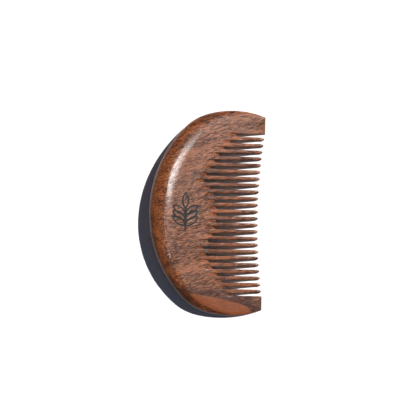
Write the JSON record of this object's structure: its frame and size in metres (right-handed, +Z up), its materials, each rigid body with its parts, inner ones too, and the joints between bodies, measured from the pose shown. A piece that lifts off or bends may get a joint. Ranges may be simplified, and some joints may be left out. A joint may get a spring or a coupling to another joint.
{
  "type": "wide tooth comb",
  "caption": "Half-moon handleless wooden comb with a thick rounded back, sawn slots with run-out ramps, round-tipped teeth, wide end guards and a small leaf sprig on the upper face.",
  "frame": {"origin": "middle of the comb's box, on the plane of the lower face that it lies on", "axes": "+X from the spine to the tooth tips, +Y along the comb, +Z up from the face it lies on"},
  "size_m": [0.0584, 0.105, 0.011],
  "materials": {
    "wood": "hand-sanded, oiled and lightly waxed satin"
  },
  "bodies": {
    "root": {"back": "wood", "guard_left": "wood", "guard_right": "wood", "tooth_01": "wood", "tooth_02": "wood", "tooth_03": "wood", "tooth_04": "wood", "tooth_05": "wood", "tooth_06": "wood", "tooth_07": "wood", "tooth_08": "wood", "tooth_09": "wood", "tooth_10": "wood", "tooth_11": "wood", "tooth_12": "wood", "tooth_13": "wood", "tooth_14": "wood", "tooth_15": "wood", "tooth_16": "wood", "tooth_17": "wood", "tooth_18": "wood", "tooth_19": "wood", "tooth_20": "wood", "tooth_21": "wood", "tooth_22": "wood", "tooth_23": "wood", "tooth_24": "wood"}
  },
  "joints": []
}
